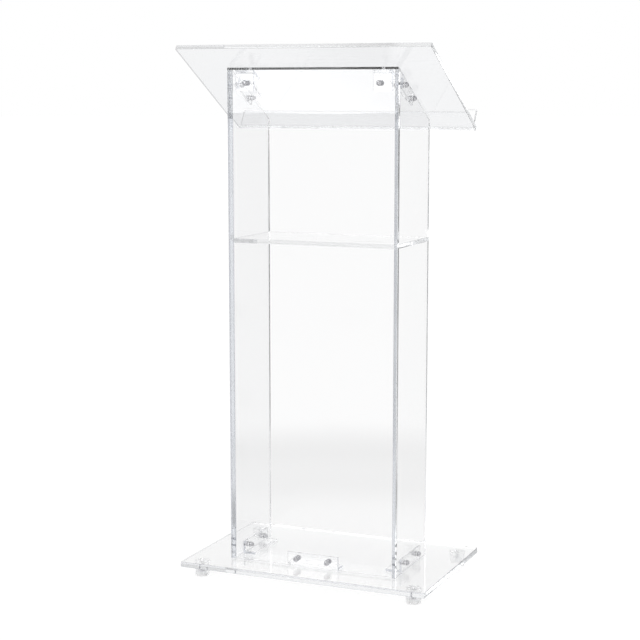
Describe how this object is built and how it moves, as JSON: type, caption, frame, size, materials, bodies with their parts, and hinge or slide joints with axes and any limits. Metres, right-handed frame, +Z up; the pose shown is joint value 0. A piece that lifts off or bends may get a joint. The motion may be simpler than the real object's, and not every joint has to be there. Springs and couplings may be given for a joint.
{
  "type": "presentation lectern",
  "caption": "Free-standing clear acrylic lectern: a three-sided column with an open-backed shelf on a flat base, under a sloping reading board with a book stop.",
  "frame": {"origin": "on the floor, below the middle of the base plate, which is the bottom centre of the bounding box", "axes": "+Z up; the audience stands on the -Y side and the speaker on the +Y side; +X is to the right as the audience sees it"},
  "size_m": [0.597, 0.378, 1.2098],
  "materials": {
    "clear_acrylic": "polished",
    "polished_steel": "polished",
    "clear_vinyl": "satin"
  },
  "bodies": {
    "root": {"base_plate": "clear_acrylic", "front_panel": "clear_acrylic", "left_side_panel": "clear_acrylic", "right_side_panel": "clear_acrylic", "middle_shelf": "clear_acrylic", "reading_board": "clear_acrylic", "book_stop": "clear_acrylic", "front_base_bracket": "clear_acrylic", "left_base_bracket": "clear_acrylic", "right_base_bracket": "clear_acrylic", "left_board_bracket": "clear_acrylic", "right_board_bracket": "clear_acrylic", "left_corner_bracket": "clear_acrylic", "right_corner_bracket": "clear_acrylic", "panel_screws": "polished_steel", "head_washers": "polished_steel", "nut_washers": "polished_steel", "cap_nuts": "polished_steel", "foot_screws": "polished_steel", "foot_washers": "polished_steel", "front_left_foot": "clear_vinyl", "front_right_foot": "clear_vinyl", "rear_left_foot": "clear_vinyl", "rear_right_foot": "clear_vinyl"}
  },
  "joints": []
}
